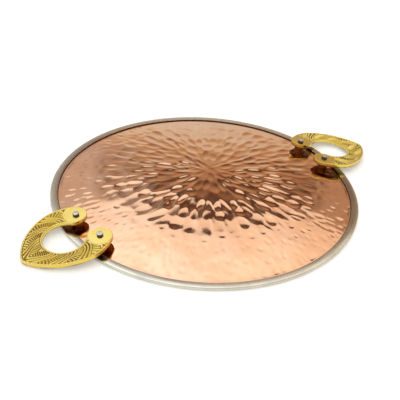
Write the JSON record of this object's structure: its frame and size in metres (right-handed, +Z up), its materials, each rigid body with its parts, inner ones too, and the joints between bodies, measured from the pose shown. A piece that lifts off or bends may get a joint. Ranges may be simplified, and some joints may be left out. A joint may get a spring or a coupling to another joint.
{
  "type": "hammered copper tray",
  "caption": "Round serving tray with a shallow domed hammered copper face, a steel back folded over its edge as a rim, and riveted cast brass bow handles.",
  "frame": {"origin": "centre of the tray's footprint, on the surface that the rim stands on", "axes": "+X towards the right handle, +Z up out of the hammered face, +Y towards the back"},
  "size_m": [0.3988, 0.3, 0.016],
  "materials": {
    "copper": "polished copper, hammered by hand",
    "steel": "satin, spun in rings",
    "brass": "cast and carved, dark in the recesses",
    "rivet": "satin"
  },
  "bodies": {
    "root": {"copper_plate": "copper", "steel_backing_plate": "steel", "left_handle": "brass", "right_handle": "brass", "left_front_rivet": "rivet", "left_back_rivet": "rivet", "right_front_rivet": "rivet", "right_back_rivet": "rivet"}
  },
  "joints": []
}
